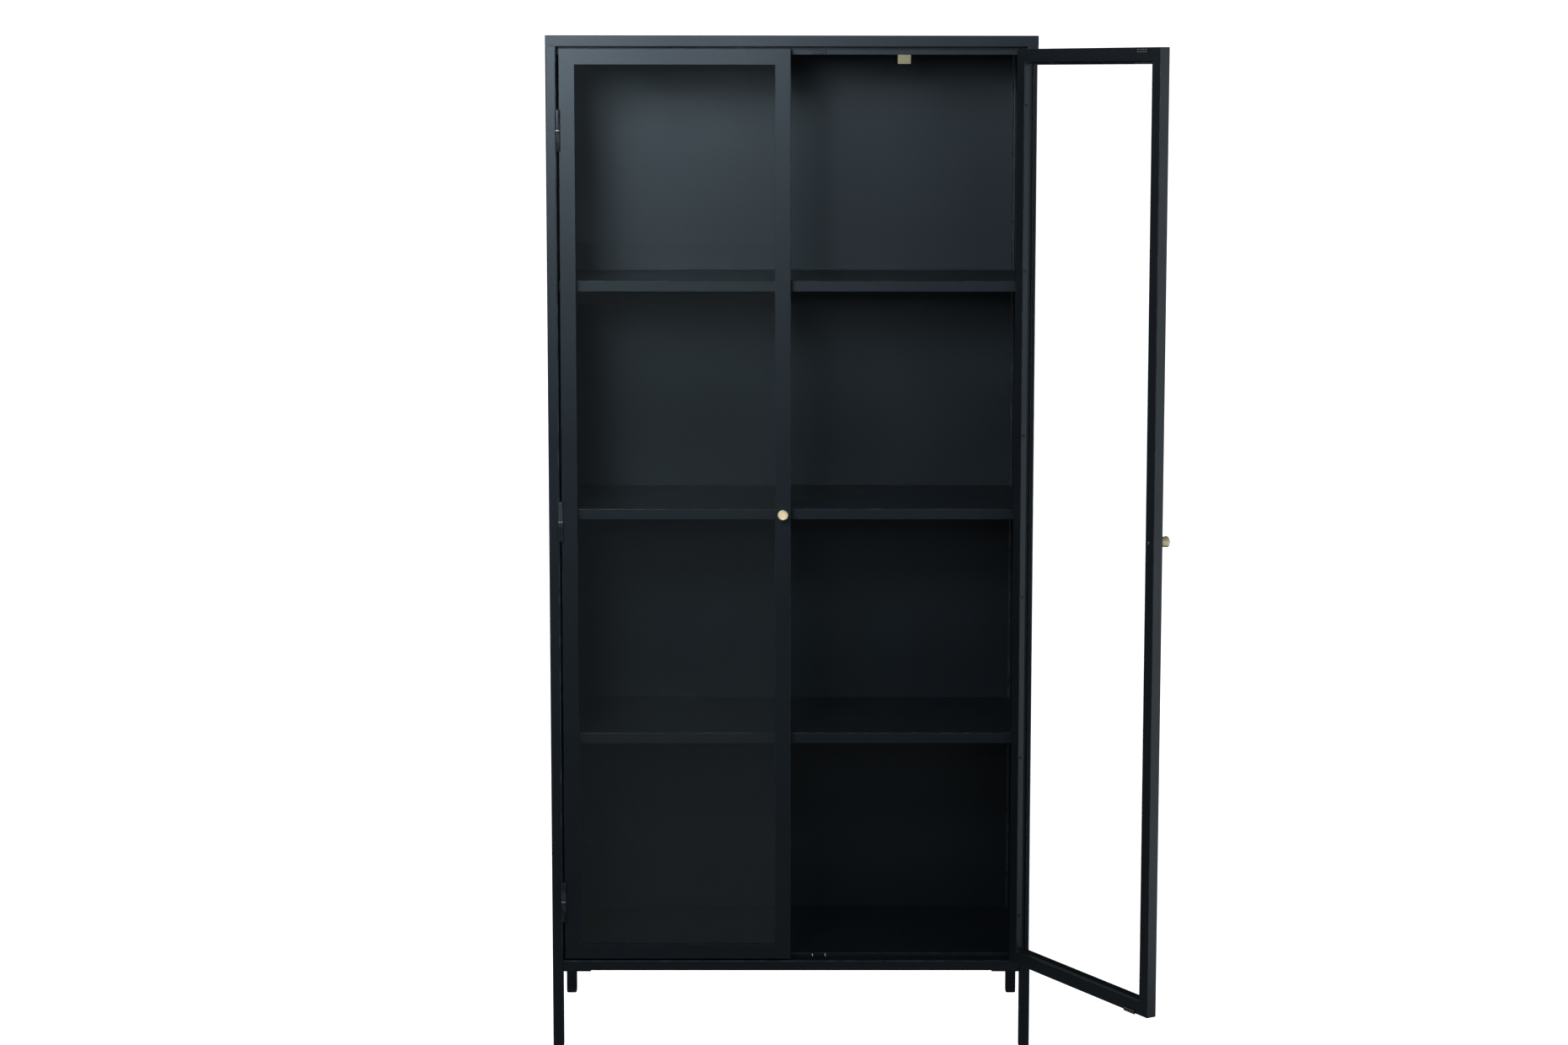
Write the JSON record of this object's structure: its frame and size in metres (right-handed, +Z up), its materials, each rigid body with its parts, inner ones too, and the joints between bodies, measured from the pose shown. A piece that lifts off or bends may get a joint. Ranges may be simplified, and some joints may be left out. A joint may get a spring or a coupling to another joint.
{
  "type": "glazed display case",
  "caption": "Tall powder-coated metal display case on square legs, with inset glass doors on lift-off hinges, knobs, magnetic catches and full-width folded shelves.",
  "frame": {"origin": "the middle of the footprint of the case's four feet, on the floor", "axes": "+X to the right as seen from the front, +Y from the doors to the back panel, +Z up"},
  "size_m": [1.1096, 0.7604, 1.9],
  "materials": {
    "frame_paint": "fine-textured satin powder coat, blue-black, on square steel tube",
    "panel_paint": "fine-textured satin powder coat, blue-black, on folded steel sheet",
    "door_paint": "fine-textured satin powder coat, blue-black, on the door sections",
    "hinge_paint": "powder coat over turned hinge barrels",
    "foot_rubber": "moulded black rubber",
    "brass": "pale champagne brass, finely brushed",
    "screw_steel": "blackened steel machine screw",
    "strike_steel": "dark zinc-plated steel plate",
    "catch_plastic": "moulded black plastic round a magnet and its pole pieces",
    "glass": "clear tempered float glass, slightly green at its edges"
  },
  "bodies": {
    "carcass": {"post_front_left": "frame_paint", "corner_plate_front_left": "frame_paint", "foot_front_left": "foot_rubber", "post_front_right": "frame_paint", "corner_plate_front_right": "frame_paint", "foot_front_right": "foot_rubber", "post_rear_left": "frame_paint", "corner_plate_rear_left": "frame_paint", "foot_rear_left": "foot_rubber", "post_rear_right": "frame_paint", "corner_plate_rear_right": "frame_paint", "foot_rear_right": "foot_rubber", "bottom_rail_front": "frame_paint", "bottom_rail_rear": "frame_paint", "bottom_rail_left": "frame_paint", "bottom_rail_right": "frame_paint", "top_panel": "panel_paint", "side_panel_left": "panel_paint", "side_panel_right": "panel_paint", "back_panel": "panel_paint", "floor_pan": "panel_paint", "door_stop_strip": "panel_paint", "shelf_lower": "panel_paint", "shelf_middle": "panel_paint", "shelf_upper": "panel_paint", "brass_tag": "brass", "catch_top_left": "catch_plastic", "catch_top_right": "catch_plastic", "catch_bottom_left": "catch_plastic", "catch_bottom_right": "catch_plastic", "hinge_lower_top_left": "hinge_paint", "hinge_lower_top_right": "hinge_paint", "hinge_lower_middle_left": "hinge_paint", "hinge_lower_middle_right": "hinge_paint", "hinge_lower_bottom_left": "hinge_paint", "hinge_lower_bottom_right": "hinge_paint"},
    "left_door": {"left_hinge_upper_top": "hinge_paint", "left_hinge_upper_middle": "hinge_paint", "left_hinge_upper_bottom": "hinge_paint", "left_door_hinge_stile": "door_paint", "left_door_meeting_stile": "door_paint", "left_door_top_rail": "door_paint", "left_door_bottom_rail": "door_paint", "left_door_glass": "glass", "left_door_knob": "brass", "left_door_knob_screw": "screw_steel", "left_door_strike_top": "strike_steel", "left_door_strike_bottom": "strike_steel"},
    "right_door": {"right_hinge_upper_top": "hinge_paint", "right_hinge_upper_middle": "hinge_paint", "right_hinge_upper_bottom": "hinge_paint", "right_door_hinge_stile": "door_paint", "right_door_meeting_stile": "door_paint", "right_door_top_rail": "door_paint", "right_door_bottom_rail": "door_paint", "right_door_glass": "glass", "right_door_knob": "brass", "right_door_knob_screw": "screw_steel", "right_door_strike_top": "strike_steel", "right_door_strike_bottom": "strike_steel"}
  },
  "joints": [
    {"name": "left_door_hinge", "type": "hinge", "parent": "carcass", "child": "left_door", "pos_m": [-0.428, -0.193, 1.0055], "axis": [0, 0, -1], "range_deg": [0, 170]},
    {"name": "right_door_hinge", "type": "hinge", "parent": "carcass", "child": "right_door", "pos_m": [0.428, -0.193, 1.0055], "axis": [0, 0, 1], "range_deg": [-121, 49]}
  ]
}
